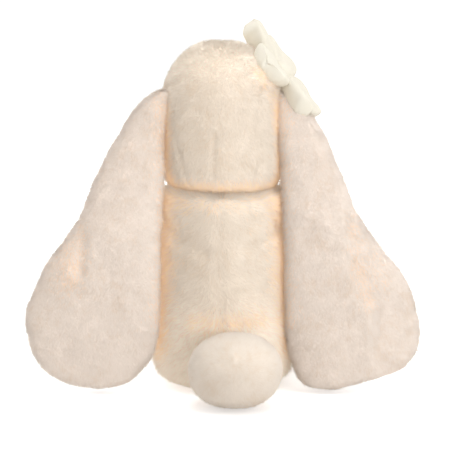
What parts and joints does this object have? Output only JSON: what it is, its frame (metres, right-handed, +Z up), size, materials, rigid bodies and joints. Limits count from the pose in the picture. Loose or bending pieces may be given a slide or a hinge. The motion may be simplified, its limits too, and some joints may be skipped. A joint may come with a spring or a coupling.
{
  "type": "stuffed bunny rabbit",
  "caption": "Sitting plush rabbit with long hanging ears, round tail, jointed soft limbs and a puffy fabric flower on its head.",
  "frame": {"origin": "middle of the flat seat that the rabbit sits on", "axes": "+Z up; the face looks along -Y and the tail is at +Y; +X is the rabbit's own left side"},
  "size_m": [0.3064, 0.2518, 0.2873],
  "materials": {
    "body_plush": "long soft pile",
    "ear_plush": "short dense pile",
    "ear_lining": "short velvet",
    "tail_plush": "short dense pile",
    "flower_velvet": "velvet",
    "felt": "felt",
    "sole_velvet": "short velvet",
    "filling": "loose fibre",
    "pellet_bag": "plain weave",
    "pellets": "small beads",
    "eye_black": "polished",
    "washer": "moulded",
    "face_thread": "satin stitch"
  },
  "bodies": {
    "torso": {"body_front": "body_plush", "body_back_left": "body_plush", "body_back_right": "body_plush", "body_seat": "body_plush", "body_filling": "filling", "pellet_bag": "pellet_bag", "pellets": "pellets"},
    "neck": {"neck_cover": "body_plush", "neck_filling": "filling"},
    "head": {"flower_backing": "felt", "flower_centre": "flower_velvet", "flower_petal_1": "flower_velvet", "flower_petal_2": "flower_velvet", "flower_petal_3": "flower_velvet", "flower_petal_4": "flower_velvet", "flower_petal_5": "flower_velvet", "head_back": "body_plush", "head_filling": "filling", "head_side_left": "body_plush", "head_side_right": "body_plush", "left_eye": "eye_black", "left_eye_washer": "washer", "mouth_stitch": "face_thread", "nose": "face_thread", "right_eye": "eye_black", "right_eye_washer": "washer"},
    "tail": {"tail_cover": "tail_plush", "tail_filling": "filling"},
    "left_ear_root": {"left_ear_root": "ear_plush"},
    "left_ear": {"left_ear_back": "ear_plush", "left_ear_lining": "ear_lining", "left_ear_filling": "filling"},
    "left_arm": {"left_arm_outer": "body_plush", "left_arm_inner": "body_plush", "left_arm_filling": "filling"},
    "left_leg": {"left_leg_cover": "body_plush", "left_sole": "sole_velvet", "left_leg_filling": "filling"},
    "right_ear_root": {"right_ear_root": "ear_plush"},
    "right_ear": {"right_ear_back": "ear_plush", "right_ear_lining": "ear_lining", "right_ear_filling": "filling"},
    "right_arm": {"right_arm_outer": "body_plush", "right_arm_inner": "body_plush", "right_arm_filling": "filling"},
    "right_leg": {"right_leg_cover": "body_plush", "right_sole": "sole_velvet", "right_leg_filling": "filling"}
  },
  "joints": [
    {"name": "head_turn", "type": "hinge", "parent": "torso", "child": "neck", "pos_m": [0, 0, 0.159], "axis": [0, 0, 1], "range_deg": [-15, 15], "stiffness_Nm_per_rad": 0.6},
    {"name": "head_nod", "type": "hinge", "parent": "neck", "child": "head", "pos_m": [0, 0, 0.159], "axis": [1, 0, 0], "range_deg": [0, 13], "stiffness_Nm_per_rad": 1.5},
    {"name": "tail_wag", "type": "hinge", "parent": "torso", "child": "tail", "pos_m": [-0.0095, 0.054, 0.0295], "axis": [0, 0, 1], "range_deg": [-10, 10], "stiffness_Nm_per_rad": 0.2},
    {"name": "left_ear_swing", "type": "hinge", "parent": "head", "child": "left_ear_root", "pos_m": [0.052, 0.013, 0.219], "axis": [1, 0, 0], "range_deg": [0, 60]},
    {"name": "left_ear_lift", "type": "hinge", "parent": "left_ear_root", "child": "left_ear", "pos_m": [0.052, 0.013, 0.219], "axis": [0, -1, 0], "range_deg": [0, 95]},
    {"name": "left_arm_swing", "type": "hinge", "parent": "torso", "child": "left_arm", "pos_m": [0.0565, -0.0185, 0.131], "axis": [-1, 0, 0], "range_deg": [-10, 75], "stiffness_Nm_per_rad": 0.3},
    {"name": "left_leg_lift", "type": "hinge", "parent": "torso", "child": "left_leg", "pos_m": [0.035, -0.058, 0.021], "axis": [-1, 0, 0], "range_deg": [0, 45], "stiffness_Nm_per_rad": 0.5},
    {"name": "right_ear_swing", "type": "hinge", "parent": "head", "child": "right_ear_root", "pos_m": [-0.052, 0.013, 0.219], "axis": [1, 0, 0], "range_deg": [0, 60]},
    {"name": "right_ear_lift", "type": "hinge", "parent": "right_ear_root", "child": "right_ear", "pos_m": [-0.052, 0.013, 0.219], "axis": [0, 1, 0], "range_deg": [0, 25]},
    {"name": "right_arm_swing", "type": "hinge", "parent": "torso", "child": "right_arm", "pos_m": [-0.0565, -0.0185, 0.131], "axis": [-1, 0, 0], "range_deg": [-10, 75], "stiffness_Nm_per_rad": 0.3},
    {"name": "right_leg_lift", "type": "hinge", "parent": "torso", "child": "right_leg", "pos_m": [-0.035, -0.058, 0.021], "axis": [-1, 0, 0], "range_deg": [0, 45], "stiffness_Nm_per_rad": 0.5}
  ]
}
